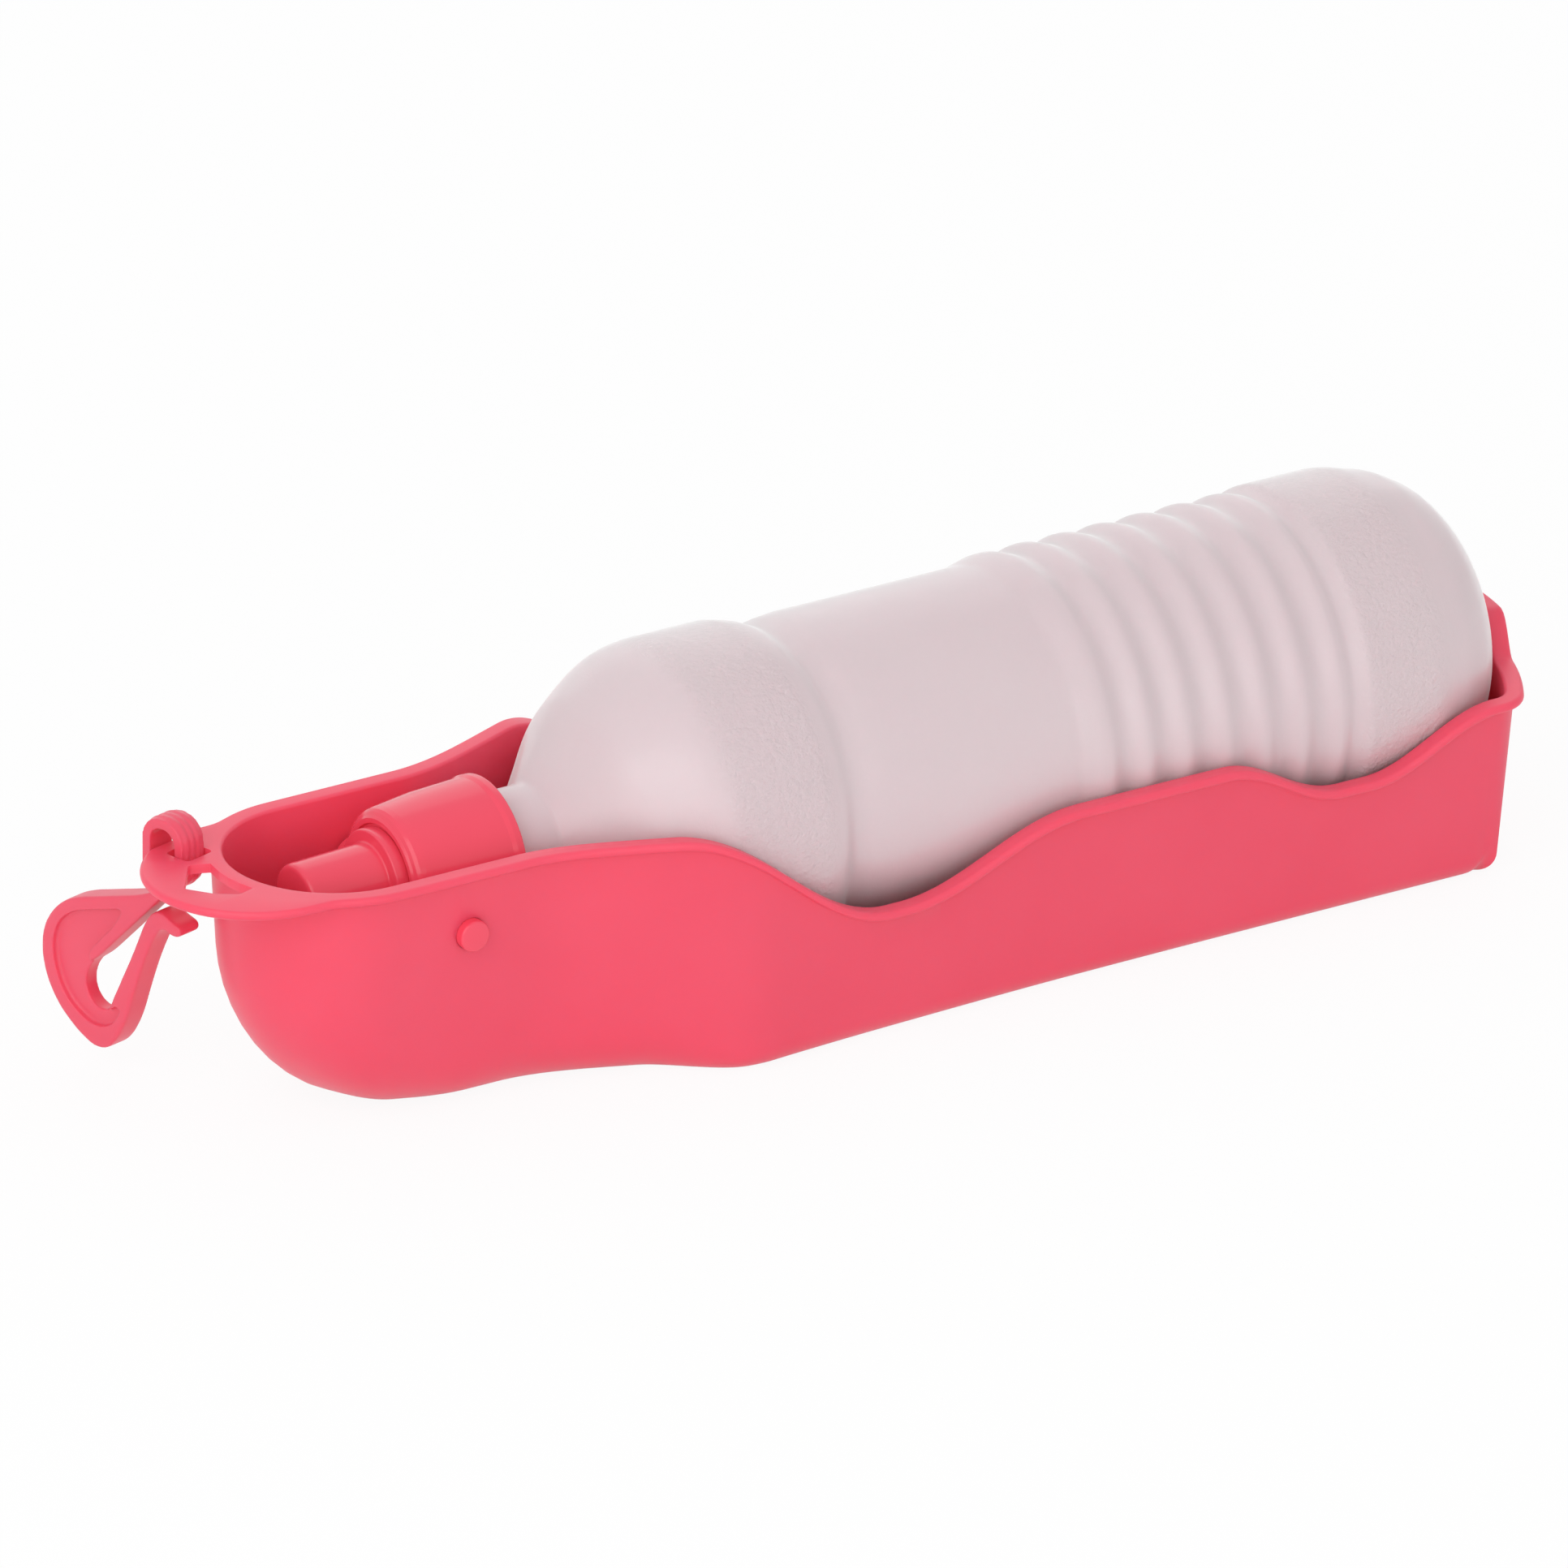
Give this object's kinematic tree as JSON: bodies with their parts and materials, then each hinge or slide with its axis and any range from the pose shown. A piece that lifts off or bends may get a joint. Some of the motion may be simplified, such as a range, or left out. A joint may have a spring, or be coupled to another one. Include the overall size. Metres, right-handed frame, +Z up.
{
  "type": "dog travel water bottle",
  "caption": "Squeeze water bottle that folds down into its own drinking trough, with a pull spout and a hanging clip.",
  "frame": {"origin": "on the flat underside of the tray, on the centre line, under the round nose bowl", "axes": "+X along the bottle from the spout to its base, +Z up with the tray standing on its underside, +Y to the side the clip hangs on"},
  "size_m": [0.2847, 0.0833, 0.0719],
  "materials": {
    "tray_plastic": "satin moulded polypropylene",
    "bottle_plastic": "frosted translucent blow-moulded polyethylene",
    "cap_plastic": "satin moulded polypropylene",
    "spout_plastic": "satin moulded polyethylene",
    "seal_rubber": "soft white sealing washer",
    "clip_plastic": "satin soft moulded plastic"
  },
  "bodies": {
    "tray_body": {"tray": "tray_plastic"},
    "closure": {"cap": "cap_plastic"},
    "spout_body": {"spout": "spout_plastic"},
    "seal_body": {"seal": "seal_rubber"},
    "bottle_body": {"bottle": "bottle_plastic"},
    "clip_body": {"clip": "clip_plastic"}
  },
  "joints": [
    {"name": "fold", "type": "hinge", "parent": "tray_body", "child": "closure", "pos_m": [0.004, 0, 0.03605], "axis": [0, -1, 0], "range_deg": [0, 118]},
    {"name": "spout_pull", "type": "slide", "parent": "closure", "child": "spout_body", "axis": [-1, 0, 0], "range_m": [0, 0.005]},
    {"name": "unscrew", "type": "hinge", "parent": "closure", "child": "seal_body", "pos_m": [0.0033, 0, 0.0398], "axis": [1, 0, 0], "range_deg": [0, 90]},
    {"name": "unscrew_travel", "type": "slide", "parent": "seal_body", "child": "bottle_body", "axis": [1, 0, 0], "range_m": [0, 0.00075]},
    {"name": "clip_swing", "type": "hinge", "parent": "tray_body", "child": "clip_body", "pos_m": [-0.037, 0.0169, 0.0467], "axis": [0.9659, 0.2588, 0], "range_deg": [-15, 30]}
  ],
  "couplings": [
    {"joint": "unscrew_travel", "follows": "unscrew", "m_per_rad": 0.00047746}
  ]
}
